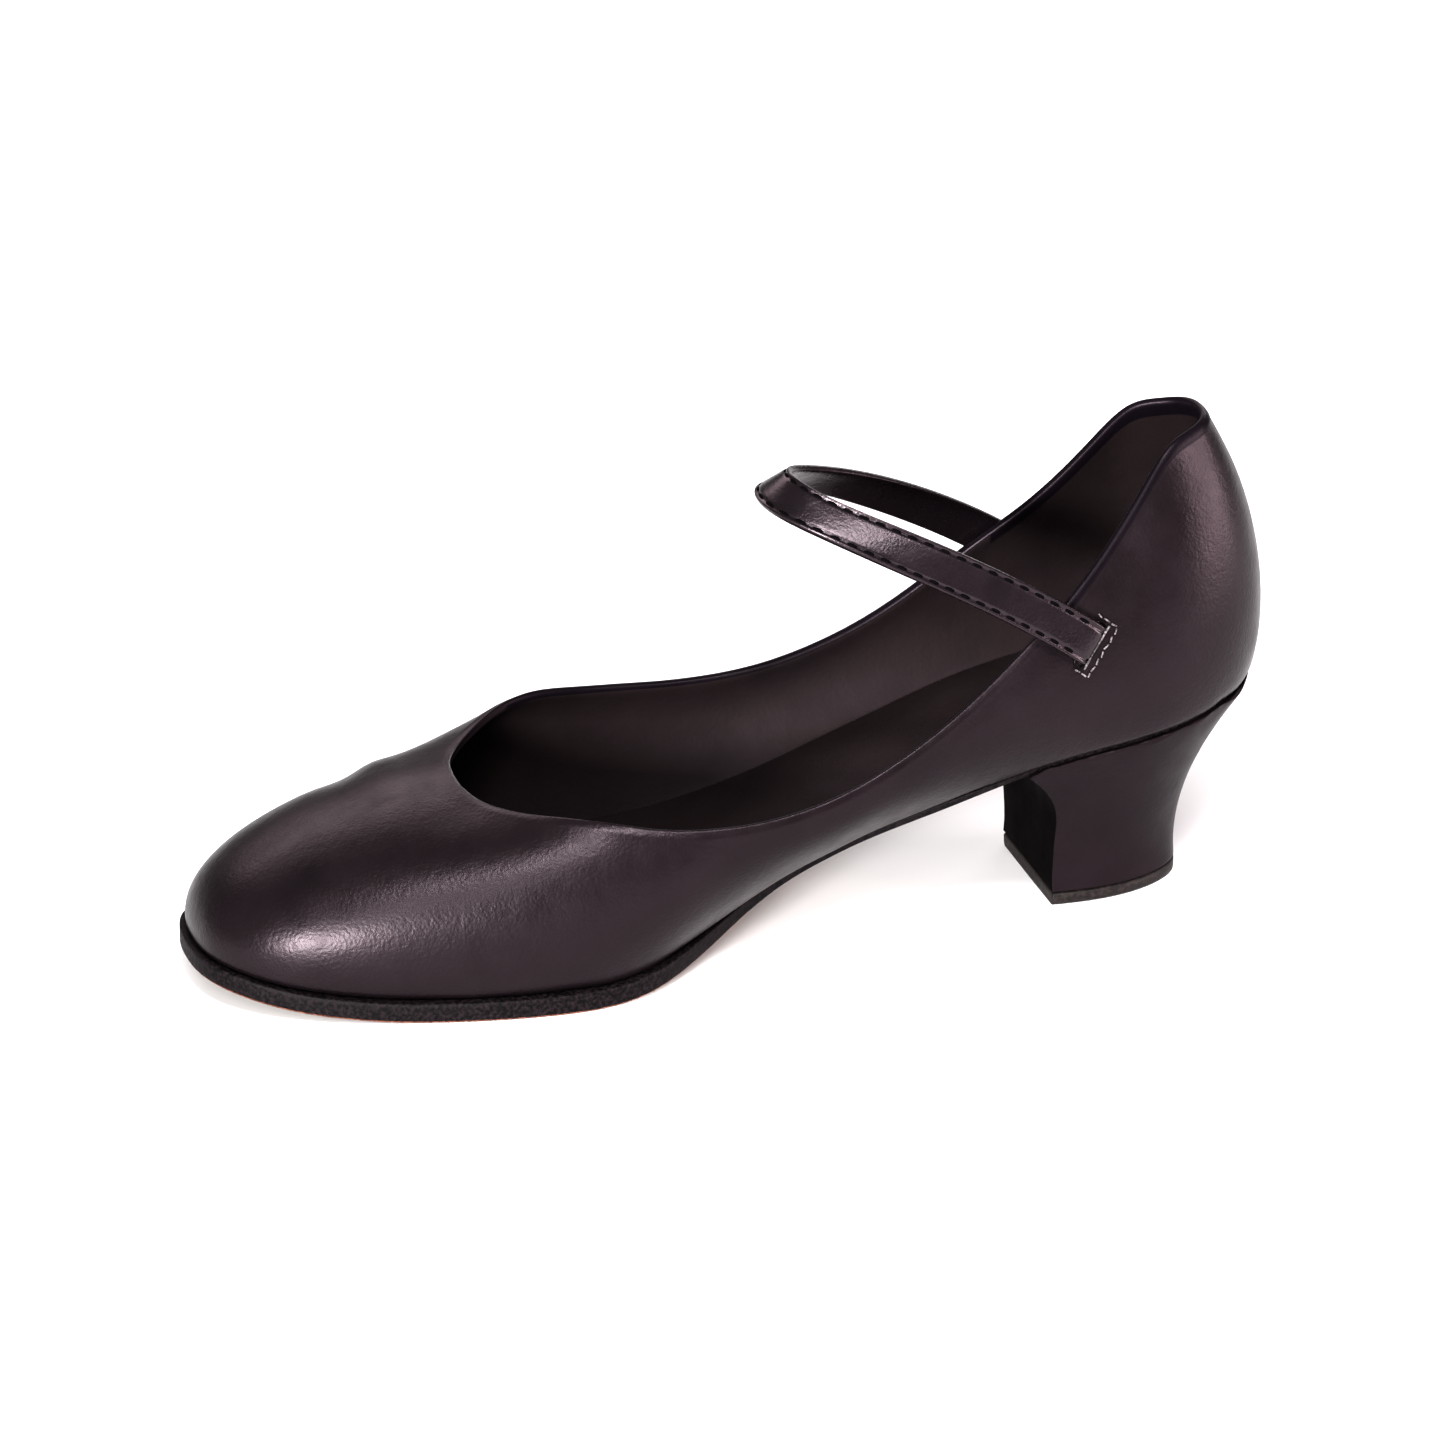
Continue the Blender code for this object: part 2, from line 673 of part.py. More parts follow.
def main():
    clear_scene()
    leather = new_material("black_leather", (0.022, 0.019, 0.021), 0.42)
    lining = new_material("dark_lining", (0.030, 0.027, 0.028), 0.75)
    sole_black = new_material("black_sole", (0.030, 0.026, 0.027), 0.80)
    heel_cover = new_material("heel_leather", (0.022, 0.019, 0.021), 0.42)
    rubber = new_material("black_rubber", (0.020, 0.018, 0.018), 0.70)
    strap_leather = new_material("strap_leather", (0.020, 0.019, 0.022), 0.25)
    upper = make_upper(leather)
    cut_slot(upper, 1)
    cut_slot(upper, -1)
    shoe = [
        upper,
        make_insole(lining),
        make_outsole(sole_black),
        make_heel(heel_cover),
        make_top_piece(rubber),
        make_strap(strap_leather),
    ]
    centre_on_floor(shoe)


main()
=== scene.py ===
# %% [markdown]
# # A character shoe in black leather
# A shoe for dancing on a stage: a closed toe, a low curved heel and one strap over the instep. It is a right
# shoe, seen from its inner side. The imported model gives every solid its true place, so this lesson dresses
# those solids: each gets smooth skin, real edges and a finish, and then the stitches are added.

# %% Load the frame
import math

import bmesh
import bpy
from mathutils import Matrix, Vector
from mathutils.bvhtree import BVHTree
from mathutils.kdtree import KDTree


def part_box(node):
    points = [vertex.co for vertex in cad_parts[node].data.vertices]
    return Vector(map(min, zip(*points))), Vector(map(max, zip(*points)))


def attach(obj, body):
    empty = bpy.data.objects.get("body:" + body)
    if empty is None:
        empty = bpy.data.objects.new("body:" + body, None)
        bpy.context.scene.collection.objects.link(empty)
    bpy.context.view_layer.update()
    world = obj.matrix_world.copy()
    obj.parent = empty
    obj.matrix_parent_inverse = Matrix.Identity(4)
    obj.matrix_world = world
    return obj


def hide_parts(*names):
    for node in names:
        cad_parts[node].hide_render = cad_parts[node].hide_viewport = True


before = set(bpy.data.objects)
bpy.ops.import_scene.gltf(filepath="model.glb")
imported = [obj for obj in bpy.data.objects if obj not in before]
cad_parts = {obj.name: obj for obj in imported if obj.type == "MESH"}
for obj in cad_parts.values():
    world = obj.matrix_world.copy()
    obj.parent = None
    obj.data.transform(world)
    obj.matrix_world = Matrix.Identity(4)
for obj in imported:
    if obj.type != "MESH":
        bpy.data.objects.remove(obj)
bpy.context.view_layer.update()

MM = 0.001
print("nodes:", sorted(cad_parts))

# %% [markdown]
# ## Camera first
# The photograph looks at the shoe's inner side from a little above. The camera stands far off with a long
# lens, as a studio camera does, so that the shoe keeps its proportions. Setting it first lets each later
# piece be judged from the place that matters most. Everything is measured from the heel's front corner on
# the floor, because that corner is the sharpest point in the photograph. The lens shows the shoe 1.4 times
# as large as the photograph does, so that it fills the picture.

# %% Bearings round the shoe
def bearing(azimuth, elevation):
    """The way out from the shoe at two angles in degrees: round from the toe to the inner side, and up."""
    azimuth = math.radians(azimuth)
    elevation = math.radians(elevation)
    return Vector((
        math.sin(azimuth) * math.cos(elevation),
        -math.cos(azimuth) * math.cos(elevation),
        math.sin(elevation),
    ))


AZIMUTH = 71
ELEVATION = 25
towards_camera = bearing(AZIMUTH, ELEVATION)
rightwards = Vector((0, 0, 1)).cross(towards_camera).normalized()
upwards = towards_camera.cross(rightwards)
print("towards the camera:", [round(c, 3) for c in towards_camera])

# %% Camera
CAMERA_DISTANCE = 2.5
SENSOR = 36
FRAME_PIXELS = 1440
PIXELS_PER_METRE = 3300
FRAMING = 1.4
AIM_LEFT = 72.6 * MM
AIM_UP = 39.5 * MM

heel_low, heel_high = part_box("heel_top_piece")
heel_corner = Vector((heel_high.x, heel_low.y, 0))
eye = heel_corner + towards_camera * CAMERA_DISTANCE
aim = heel_corner - rightwards * AIM_LEFT + upwards * AIM_UP

camera_data = bpy.data.cameras.new("studio_camera")
camera_data.sensor_width = SENSOR
camera_data.lens = SENSOR * PIXELS_PER_METRE / FRAME_PIXELS * CAMERA_DISTANCE * FRAMING
camera_data.clip_start = 0.05
camera = bpy.data.objects.new("studio_camera", camera_data)
bpy.context.scene.collection.objects.link(camera)
camera.location = eye
camera.rotation_euler = (aim - eye).to_track_quat("-Z", "Y").to_euler()
bpy.context.scene.camera = camera
print("lens, mm:", round(camera_data.lens))

# %% [markdown]
# ## Lamps
# Black leather shows its form by what it reflects, so the lamps matter more than its colour. A small strong
# box at a low height puts the highlight on the toe and keeps the rest of the skin deep. Larger, weaker boxes
# give the soft bands on the vamp, the quarter and the heel. Each box's place is found by mirroring the view
# at the spot where a highlight is wanted.

# %% Light boxes
SHOE_MIDDLE = Vector((0, 0, 0.04))


def soft_box(name, azimuth, elevation, distance, width, height, power, colour=(1, 1, 1)):
    """A rectangular studio lamp with a cloth front, aimed at the shoe."""
    lamp = bpy.data.lights.new(name, "AREA")
    lamp.shape = "RECTANGLE"
    lamp.size = width
    lamp.size_y = height
    lamp.energy = power
    lamp.color = colour
    box = bpy.data.objects.new(name, lamp)
    bpy.context.scene.collection.objects.link(box)
    box.location = bearing(azimuth, elevation) * distance
    box.rotation_euler = (SHOE_MIDDLE - box.location).to_track_quat("-Z", "Y").to_euler()
    return box


light_boxes = [
    soft_box("key_box", 51, 12, 3.0, 0.80, 0.50, 215),
    soft_box("upper_key_box", 66, 38, 3.0, 0.70, 1.00, 24),
    soft_box("high_box", 95, 61, 2.5, 1.40, 0.55, 50),
    soft_box("vamp_box", 76, 62, 2.6, 0.32, 0.26, 18),
    soft_box("heel_side_box", 156, 14, 2.2, 1.10, 1.20, 44, (1.0, 0.88, 0.90)),
    soft_box("back_fill_box", -128, 24, 2.4, 1.30, 1.00, 13),
    soft_box("far_box", -84, 36, 2.4, 1.80, 0.90, 14, (1.0, 0.86, 0.89)),
]
print("lamps:", len(light_boxes), "watts in all:", sum(box.data.energy for box in light_boxes))

# %% [markdown]
# ## World and contrast
# A weak white world fills the shadows a little. The picture's contrast is raised, as a printed studio
# photograph's is, which deepens the leather and lets the paper go white.

# %% World and contrast
WORLD_STRENGTH = 0.15

world = bpy.data.worlds.new("white_studio")
bpy.context.scene.world = world
world.use_nodes = True
sky = world.node_tree.nodes["Background"]
sky.inputs["Color"].default_value = (1, 1, 1, 1)
sky.inputs["Strength"].default_value = WORLD_STRENGTH
bpy.context.scene.view_settings.view_transform = "Standard"
bpy.context.scene.view_settings.look = "High Contrast"
print("look:", bpy.context.scene.view_settings.look)

# %% [markdown]
# ## Floor
# The shoe stands on a pale sheet of studio paper. A round disc far wider than the picture does for it. Its
# tone stays under full white, because a whiter floor throws grey light up into the black leather.

# %% Paper floor
FLOOR_RADIUS = 4.0
PAPER_TONE = 0.74


def object_from(bm, name):
    """Turns a bmesh into an object in the scene."""
    mesh = bpy.data.meshes.new(name)
    bm.to_mesh(mesh)
    bm.free()
    made = bpy.data.objects.new(name, mesh)
    bpy.context.scene.collection.objects.link(made)
    return made


floor_bm = bmesh.new()
bmesh.ops.create_circle(floor_bm, cap_ends=True, segments=96, radius=FLOOR_RADIUS)
floor = object_from(floor_bm, "studio_floor")
floor_paper = bpy.data.materials.new("floor_paper")
floor_paper.use_nodes = True
paper_shader = floor_paper.node_tree.nodes["Principled BSDF"]
paper_shader.inputs["Base Color"].default_value = (PAPER_TONE, PAPER_TONE, PAPER_TONE, 1)
paper_shader.inputs["Roughness"].default_value = 0.9
floor.data.materials.append(floor_paper)
print("floor, m across:", 2 * FLOOR_RADIUS)

# %% [markdown]
# ## Finishes
# Everything on the shoe is nearly black, so the finishes differ by gloss, grain and a trace of colour. A
# material is a small network of nodes. Noise makes the tone and the gloss vary a little, as in real hide,
# and finer noise lifts the surface into grain. Each pattern reads Object coordinates in metres, so its
# scale is the real one. The helpers below each add one node and hand back the socket that the next one reads.

# %% Start a finish
def new_finish(name, roughness, specular):
    """A material with its shader, ready for patterns."""
    material = bpy.data.materials.new(name)
    material.use_nodes = True
    shader = material.node_tree.nodes["Principled BSDF"]
    shader.inputs["Roughness"].default_value = roughness
    shader.inputs["Specular IOR Level"].default_value = specular
    return material, material.node_tree, shader


def object_place(tree):
    """The place on the piece, in metres."""
    return tree.nodes.new("ShaderNodeTexCoord").outputs["Object"]


def noise(tree, place, scale, detail):
    """A cloudy grey pattern. Its patches are about 1 / scale metres wide."""
    node = tree.nodes.new("ShaderNodeTexNoise")
    node.inputs["Scale"].default_value = scale
    node.inputs["Detail"].default_value = detail
    tree.links.new(place, node.inputs["Vector"])
    return node.outputs["Fac"]


# %% Turn a pattern into colour, gloss or grain
def ramp(tree, value, low, high, low_at=0.3, high_at=0.7):
    """Turns a grey value into a colour between two colours."""
    node = tree.nodes.new("ShaderNodeValToRGB")
    for stop, position, colour in zip(node.color_ramp.elements, (low_at, high_at), (low, high)):
        stop.position = position
        stop.color = (*colour, 1)
    tree.links.new(value, node.inputs["Fac"])
    return node.outputs["Color"]


def spread(tree, value, low, high, from_low=0.3, from_high=0.7):
    """Stretches a grey value to a new range."""
    node = tree.nodes.new("ShaderNodeMapRange")
    node.inputs["From Min"].default_value = from_low
    node.inputs["From Max"].default_value = from_high
    node.inputs["To Min"].default_value = low
    node.inputs["To Max"].default_value = high
    tree.links.new(value, node.inputs["Value"])
    return node.outputs["Result"]


def raise_surface(tree, shader, height, distance, strength, below=None):
    """Bump: light falls as though the surface rose by this distance, in metres."""
    node = tree.nodes.new("ShaderNodeBump")
    node.inputs["Distance"].default_value = distance
    node.inputs["Strength"].default_value = strength
    tree.links.new(height, node.inputs["Height"])
    if below:
        tree.links.new(below, node.inputs["Normal"])
    tree.links.new(node.outputs["Normal"], shader.inputs["Normal"])
    return node.outputs["Normal"]


# %% [markdown]
# ## Leather
# The upper is smooth hide, dyed black with a trace of plum that shows in its shine. One recipe serves all
# the leathers, because they differ only in tone, gloss and grain: clouds of tone, patches of gloss, fine
# wrinkles, and a fainter pebble on top. The strap is the glossiest, and the heel's hollow front the dullest.
# The hollow front's near-black tone is painted shade, and the folded edge is painted darker, partly as shade.

# %% Leather recipe
PLUM_SHINE = (1.0, 0.84, 0.91, 1)
CLOUD_SCALE = 45
PATCH_SCALE = 160


def leather(name, dark, light, gloss, specular, grain, rise):
    """Smooth hide. The grain's size and rise are in mm."""
    material, tree, shader = new_finish(name, gloss, specular)
    shader.inputs["Specular Tint"].default_value = PLUM_SHINE
    place = object_place(tree)
    clouds = noise(tree, place, CLOUD_SCALE, 4)
    tree.links.new(ramp(tree, clouds, dark, light), shader.inputs["Base Color"])
    patches = noise(tree, place, PATCH_SCALE, 5)
    tree.links.new(spread(tree, patches, gloss - 0.04, gloss + 0.05), shader.inputs["Roughness"])
    wrinkles = noise(tree, place, 0.9 / (grain * MM), 2.5)
    wrinkled = raise_surface(tree, shader, wrinkles, rise * MM, 0.8)
    pebbles = noise(tree, place, 0.3 / (grain * MM), 1.0)
    raise_surface(tree, shader, pebbles, 1.5 * rise * MM, 0.4, below=wrinkled)
    return material


# %% The shoe's leathers
upper_leather = leather(
    "upper_leather", (0.0062, 0.0044, 0.0053), (0.0090, 0.0063, 0.0076), 0.35, 0.22, 0.65, 0.09)
# The folded edge's darker, bluish tone is partly painted shade along the rolled topline.
edge_leather_and_painted_shade = leather(
    "edge_leather_and_painted_shade", (0.0042, 0.0031, 0.0043), (0.0064, 0.0047, 0.0066), 0.34, 0.10, 0.6, 0.03)
strap_leather = leather(
    "strap_leather", (0.0058, 0.0042, 0.0051), (0.0092, 0.0066, 0.0081), 0.26, 0.46, 0.5, 0.07)
# The breast's near-black tone is painted shade, the shade that falls into the heel's hollow front.
painted_shade_breast = leather(
    "painted_shade_breast", (0.0016, 0.0012, 0.0015), (0.0030, 0.0022, 0.0028), 0.70, 0.03, 0.8, 0.04)
heel_leather = leather(
    "heel_leather", (0.0078, 0.0056, 0.0067), (0.0114, 0.0080, 0.0096), 0.42, 0.10, 0.8, 0.04)
lining_leather = leather(
    "lining_leather", (0.0085, 0.0060, 0.0064), (0.0130, 0.0092, 0.0096), 0.62, 0.14, 0.9, 0.08)
sock_leather = leather(
    "sock_leather", (0.0105, 0.0076, 0.0080), (0.0165, 0.0120, 0.0124), 0.66, 0.14, 0.8, 0.10)
print("nodes in each leather:", len(upper_leather.node_tree.nodes))

# %% [markdown]
# ## Cut edges, suede, rubber and thread
# The sole's edge is cut and inked, so it is rough and speckled. Buffed suede, rubber and thread are speckled
# too, at other sizes and tones, so a second recipe serves them all: one noise for both tone and gloss, and
# another for the nap.

# %% Recipe for rough finishes
def rough_finish(name, dark, light, gloss, speck, rise, specular=0.16):
    """Speckled, with a nap that catches the light in spots. The speck's size and rise are in mm."""
    material, tree, shader = new_finish(name, gloss, specular)
    place = object_place(tree)
    specks = noise(tree, place, 1 / (speck * MM), 6)
    tree.links.new(ramp(tree, specks, dark, light, 0.42, 0.66), shader.inputs["Base Color"])
    tree.links.new(spread(tree, specks, gloss - 0.12, gloss + 0.1), shader.inputs["Roughness"])
    nap = noise(tree, place, 0.8 / (speck * MM), 4)
    raise_surface(tree, shader, nap, rise * MM, 0.9)
    return material


# %% The shoe's rough finishes
sole_edge_black = rough_finish(
    "sole_edge_black", (0.0022, 0.0015, 0.0019), (0.013, 0.0090, 0.0108), 0.62, 0.8, 0.20, 0.12)
sole_edge_brown = rough_finish(
    "sole_edge_brown", (0.070, 0.026, 0.017), (0.190, 0.080, 0.052), 0.60, 0.9, 0.1)
sole_suede = rough_finish(
    "sole_suede", (0.110, 0.070, 0.045), (0.190, 0.130, 0.090), 0.90, 1.6, 0.2)
heel_rubber = rough_finish(
    "heel_rubber", (0.010, 0.008, 0.008), (0.022, 0.017, 0.016), 0.55, 1.0, 0.06)
black_thread = rough_finish(
    "black_thread", (0.0012, 0.0010, 0.0012), (0.0040, 0.0032, 0.0038), 0.75, 0.4, 0.03, 0.04)
grey_thread = rough_finish(
    "grey_thread", (0.045, 0.039, 0.041), (0.165, 0.148, 0.154), 0.42, 0.6, 0.05)
print("nodes in each rough finish:", len(grey_thread.node_tree.nodes))

# %% [markdown]
# ## Working from the solids
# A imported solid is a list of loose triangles. To shape it further it is copied, its corners are joined, and
# its triangles are paired into four-sided faces, because Subdivision Surface rounds those evenly. Pairing
# that prefers a regular grid finds the pairs that the solid was first made of.

# %% Copy a solid
def working_copy(node, weld=0.001 * MM):
    """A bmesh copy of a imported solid, joined up and made of four-sided faces where it can be."""
    bm = bmesh.new()
    bm.from_mesh(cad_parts[node].data)
    bmesh.ops.remove_doubles(bm, verts=bm.verts, dist=weld)
    bmesh.ops.join_triangles(
        bm,
        faces=bm.faces,
        angle_face_threshold=math.radians(60),
        angle_shape_threshold=math.radians(90),
        topology_influence=1.5,
    )
    bm.normal_update()
    fours = sum(len(face.verts) == 4 for face in bm.faces)
    print(node, "faces:", len(bm.faces), "of them four-sided:", fours)
    return bm


# %% [markdown]
# ## Rounding, and what stays sharp
# Subdivision Surface turns the solid's flat faces into smooth skin, but it would also melt every edge. An
# edge's crease says how much of it to keep. Creases are set by rule, from how far an edge turns or from the
# two finishes that meet there, because marking hundreds of edges by hand would be slow and easy to get wrong.

# %% Keep some edges sharp
def crease_layer(bm):
    """The layer in which Subdivision Surface finds how sharp an edge stays."""
    return bm.edges.layers.float.get("crease_edge") or bm.edges.layers.float.new("crease_edge")


def crease_edges(bm, sharper_than, amount):
    """Creases the edges that turn by more than an angle, in degrees."""
    crease = crease_layer(bm)
    for edge in bm.edges:
        if len(edge.link_faces) == 2 and edge.calc_face_angle() > math.radians(sharper_than):
            edge[crease] = amount


def crease_where_kinds_meet(bm, kinds, amount):
    """Creases the edges between faces of two kinds, by their material numbers."""
    crease = crease_layer(bm)
    for edge in bm.edges:
        if {face.material_index for face in edge.link_faces} == kinds:
            edge[crease] = amount


# %% Round a surface
def add_rounding(piece, levels):
    """Subdivision Surface, alike in the view and in the render."""
    rounder = piece.modifiers.new("rounding", "SUBSURF")
    rounder.levels = levels
    rounder.render_levels = levels


def rounded(bm, levels):
    """The same surface after Subdivision Surface, as a new bmesh that can be shaped further."""
    step = object_from(bm, "rounding_step")
    mesh = step.data
    add_rounding(step, levels)
    shaped = step.evaluated_get(bpy.context.evaluated_depsgraph_get())
    result = bmesh.new()
    result.from_mesh(shaped.to_mesh())
    bpy.data.objects.remove(step)
    bpy.data.meshes.remove(mesh)
    result.normal_update()
    return result


# %% Finish a piece
def make_piece(name, bm, materials, rounding=2):
    """Turns a bmesh into a finished piece of the shoe."""
    piece = object_from(bm, name)
    piece.data.shade_smooth()
    for material in materials:
        piece.data.materials.append(material)
    if rounding:
        add_rounding(piece, rounding)
    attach(piece, "root")
    print("made", name)
    return piece


# %% [markdown]
# ## Reading the strap's run
# The strap comes out of a slit in each quarter, the upper's back half, and arches over the instep. All that
# is near it needs its place: the slits, the stitches round them and the rows of stitches along the band. The
# packed strap is a chain of four-cornered sections, so walking from one end's corners to the next set of
# neighbours lists them. Each section is kept as a matrix, which moves and sizes whatever is drawn on it.

# %% A section as a matrix
def frame_at(middle, side, up, along):
    """A matrix whose columns are three directions and a middle."""
    return Matrix((
        (side.x, up.x, along.x, middle.x),
        (side.y, up.y, along.y, middle.y),
        (side.z, up.z, along.z, middle.z),
        (0, 0, 0, 1),
    ))


def section_frame(corners, before):
    """One section of the strap: half its width, half its thickness, its run, and its middle."""
    middle = sum((vertex.co for vertex in corners), Vector()) / 4
    first, *others = corners
    others.sort(key=lambda vertex: (vertex.co - first.co).length)
    thickness = (others[0].co - first.co) / 2
    width = (others[1].co - first.co) / 2
    outward = before.col[1].to_3d() if before else middle - Vector((0, middle.y, middle.z))
    sideways = before.col[0].to_3d() if before else Vector((0, -1, -1))
    if thickness.dot(outward) < 0:
        thickness.negate()
    if width.dot(sideways) < 0:
        width.negate()
    return frame_at(middle, width, thickness, width.cross(thickness).normalized())


# %% Walk along the strap
strap_copy = working_copy("instep_strap")
corners = [vertex for vertex in strap_copy.verts if len(vertex.link_edges) == 3 and vertex.co.x > 0]
walked = set()
strap_frames = []
while corners:
    strap_frames.append(section_frame(corners, strap_frames[-1] if strap_frames else None))
    walked.update(corners)
    corners = list({edge.other_vert(v) for v in corners for edge in v.link_edges} - walked)
strap_copy.free()
middle_section = strap_frames[len(strap_frames) // 2]
print("strap sections:", len(strap_frames), "half width, mm:", round(middle_section.col[0].length / MM, 2))

# %% The slits' places
INNER_TURN = 4
OUTER_TURN = 5
WALL_TO_SKIN = 1.2 * MM


def slit_frame(inner, outer, further):
    """The slit on the wall's outer face: its length, the wall's normal, the strap's run, and its middle."""
    out = (outer.translation - inner.translation).normalized()
    run = further.translation - outer.translation
    run = (run - out * run.dot(out)).normalized()
    return frame_at(outer.translation - out * WALL_TO_SKIN, out.cross(run), out, run)


slits = (
    slit_frame(*strap_frames[INNER_TURN:OUTER_TURN + 2]),
    slit_frame(*reversed(strap_frames[-OUTER_TURN - 2:-INNER_TURN])),
)
print("slit middles, mm:", [[round(c / MM, 1) for c in slit.translation] for slit in slits])

# %% [markdown]
# ## The upper
# One moulded shell: lasted over a form, so it has no folds except where wear has bent it. The copy keeps
# the last's shape. The slits are closed again here, because the strap and its stitching fill them, and a
# smooth wall round them shades better than a cut one. The faces through the wall go, the two openings that
# they leave are filled, and each filling is dissolved into one face with its neighbours.

# %% Close the slits
SLIT_REACH = 9 * MM
THROUGH_WALL = 0.6

upper_bm = working_copy("upper")
for slit in slits:
    out = slit.col[1].to_3d()
    near = [f for f in upper_bm.faces if (f.calc_center_median() - slit.translation).length < SLIT_REACH]
    sides = [f for f in near if abs(f.normal.dot(out)) < THROUGH_WALL]
    bmesh.ops.delete(upper_bm, geom=sides, context="FACES")
    gap_edges = [e for e in upper_bm.edges if e.is_boundary]
    filled = bmesh.ops.holes_fill(upper_bm, edges=gap_edges, sides=0)["faces"]
    for patch in filled:
        region = {face for vertex in patch.verts for face in vertex.link_faces}
        bmesh.ops.dissolve_faces(upper_bm, faces=list(region), use_verts=True)
    print("slit sides removed:", len(sides), "openings closed:", len(filled))
upper_bm.normal_update()

# %% [markdown]
# ## Outside, lining and folded edge
# A shoe has a skin outside and a lining inside. Here each face is told apart by whether it looks away from
# the middle of the shoe. The edge round the opening gets a leather of its own, as the real one is pared
# thin, turned over and burnished. Its darker, bluish tone is partly that real edge and partly painted shade
# along the rolled topline. The turned edge is wider behind the strap, where the topline is bound, and there
# the band of painted shade is wider too.

# %% Which way is out
INSIDE_FRONT = -85 * MM
INSIDE_BACK = 90 * MM
SHOE_LENGTH = 240 * MM
INSIDE_LOW = 12 * MM
INSIDE_RISE = 52 * MM


def middle_of_shoe(place):
    """A point well inside the shoe, level with this place along its length. It climbs towards the heel."""
    y = max(INSIDE_FRONT, min(INSIDE_BACK, place.y))
    share_back = (y + SHOE_LENGTH / 2) / SHOE_LENGTH
    return Vector((0.0, y, INSIDE_LOW + INSIDE_RISE * share_back**1.3))


LEATHER, LINING, EDGE_AND_SHADE = range(3)
for face in upper_bm.faces:
    centre = face.calc_center_median()
    looks_out = face.normal.dot(centre - middle_of_shoe(centre)) > 0
    face.material_index = LEATHER if looks_out else LINING
print("faces of leather:", sum(face.material_index == LEATHER for face in upper_bm.faces))

# %% The folded edge
EDGE_AND_SHADE_DEPTH = 1.8 * MM
QUARTER_EDGE_AND_SHADE_DEPTH = 3.1 * MM
QUARTER_FROM = 66 * MM


def edge_middle(edge):
    """The place halfway along an edge."""
    return (edge.verts[0].co + edge.verts[1].co) / 2


rim = set()
for edge in upper_bm.edges:
    middle = edge_middle(edge)
    if len({face.material_index for face in edge.link_faces}) == 2 and middle.z > middle_of_shoe(middle).z:
        rim.update(edge.verts)
rim_tree = KDTree(len(rim))
for index, vertex in enumerate(rim):
    rim_tree.insert(vertex.co, index)
rim_tree.balance()
# Faces near the rim get the folded edge's darker leather, partly painted shade; the band is wider on the
# quarter.
for face in upper_bm.faces:
    depth = QUARTER_EDGE_AND_SHADE_DEPTH if face.calc_center_median().y > QUARTER_FROM else EDGE_AND_SHADE_DEPTH
    if max(rim_tree.find(vertex.co)[2] for vertex in face.verts) < depth:
        face.material_index = EDGE_AND_SHADE
counts = [sum(f.material_index == kind for f in upper_bm.faces) for kind in range(3)]
print("faces of leather, lining and folded edge:", counts, "rim corners:", len(rim))

# %% [markdown]
# ## The seam up the back
# The two quarters meet at the back in a closed seam. Bevelling its line of edges gives a narrow strip with a
# line down its middle, and pushing that line in makes the groove. This is simpler than cutting a groove, and
# it follows the back's curve by itself.

# %% Press in the seam
BACK_MIDDLE = 0.7 * MM
SEAM_FROM = 90 * MM
SEAM_HALF_WIDTH = 0.7 * MM
SEAM_DEPTH = 0.45 * MM
NEAR_MIDDLE = 0.3 * MM
ON_MIDDLE = 0.25 * MM


def bevel_edges(bm, edges, width):
    """Cuts a strip of two faces' width along the edges, and returns what it made."""
    return bmesh.ops.bevel(
        bm, geom=edges, offset=width, offset_type="OFFSET", segments=2, profile=0.5,
        affect="EDGES", material=-1,
    )


seam_edges = [
    edge for edge in upper_bm.edges
    if all(abs(v.co.x - BACK_MIDDLE) < NEAR_MIDDLE and v.co.y > SEAM_FROM for v in edge.verts)
    and all(face.material_index == LEATHER and face.normal.y > 0.3 for face in edge.link_faces)
]
strip = bevel_edges(upper_bm, seam_edges, SEAM_HALF_WIDTH)
upper_bm.normal_update()
for vertex in strip["verts"]:
    if abs(vertex.co.x - BACK_MIDDLE) < ON_MIDDLE:
        vertex.co -= vertex.normal * SEAM_DEPTH
print("back seam edges:", len(seam_edges))

# %% [markdown]
# ## Lines that stay crisp
# Subdivision Surface would round everything alike. A crease keeps two lines crisper: the step under the
# folded edge, and the turn at the bottom where the leather is pulled over the last's edge.

# %% Crease the upper
FEATHER_TURN = math.radians(50)
UNDER_EDGE = 0.5
AT_FEATHER = 0.45

crease_where_kinds_meet(upper_bm, {LEATHER, EDGE_AND_SHADE}, UNDER_EDGE)
crease = crease_layer(upper_bm)
feather_edges = [
    edge for edge in upper_bm.edges
    if edge.calc_face_angle(0) > FEATHER_TURN and edge_middle(edge).z < middle_of_shoe(edge_middle(edge)).z
]
for edge in feather_edges:
    edge[crease] = AT_FEATHER
print("creased at the bottom:", len(feather_edges))

# %% [markdown]
# ## Where wear has bent the shoe
# The vamp carries one soft ridge where the sole flexes, and a shallow hollow in front of it. Each fold is
# given as a line of points over the skin, with a width and a height, and moves the vertices near it. The
# surface is rounded once first, so that there are vertices enough to carry the shape.

# %% Soft ridges and hollows
def along_line(point, line):
    """Distance from a point to a line of points, and how far along the line it lies, from 0 to 1."""
    best = None
    for index, (a, b) in enumerate(zip(line, line[1:])):
        span = b - a
        t = max(0.0, min(1.0, (point - a).dot(span) / span.length_squared))
        distance = (point - (a + span * t)).length
        if best is None or distance < best[0]:
            best = (distance, (index + t) / (len(line) - 1))
    return best


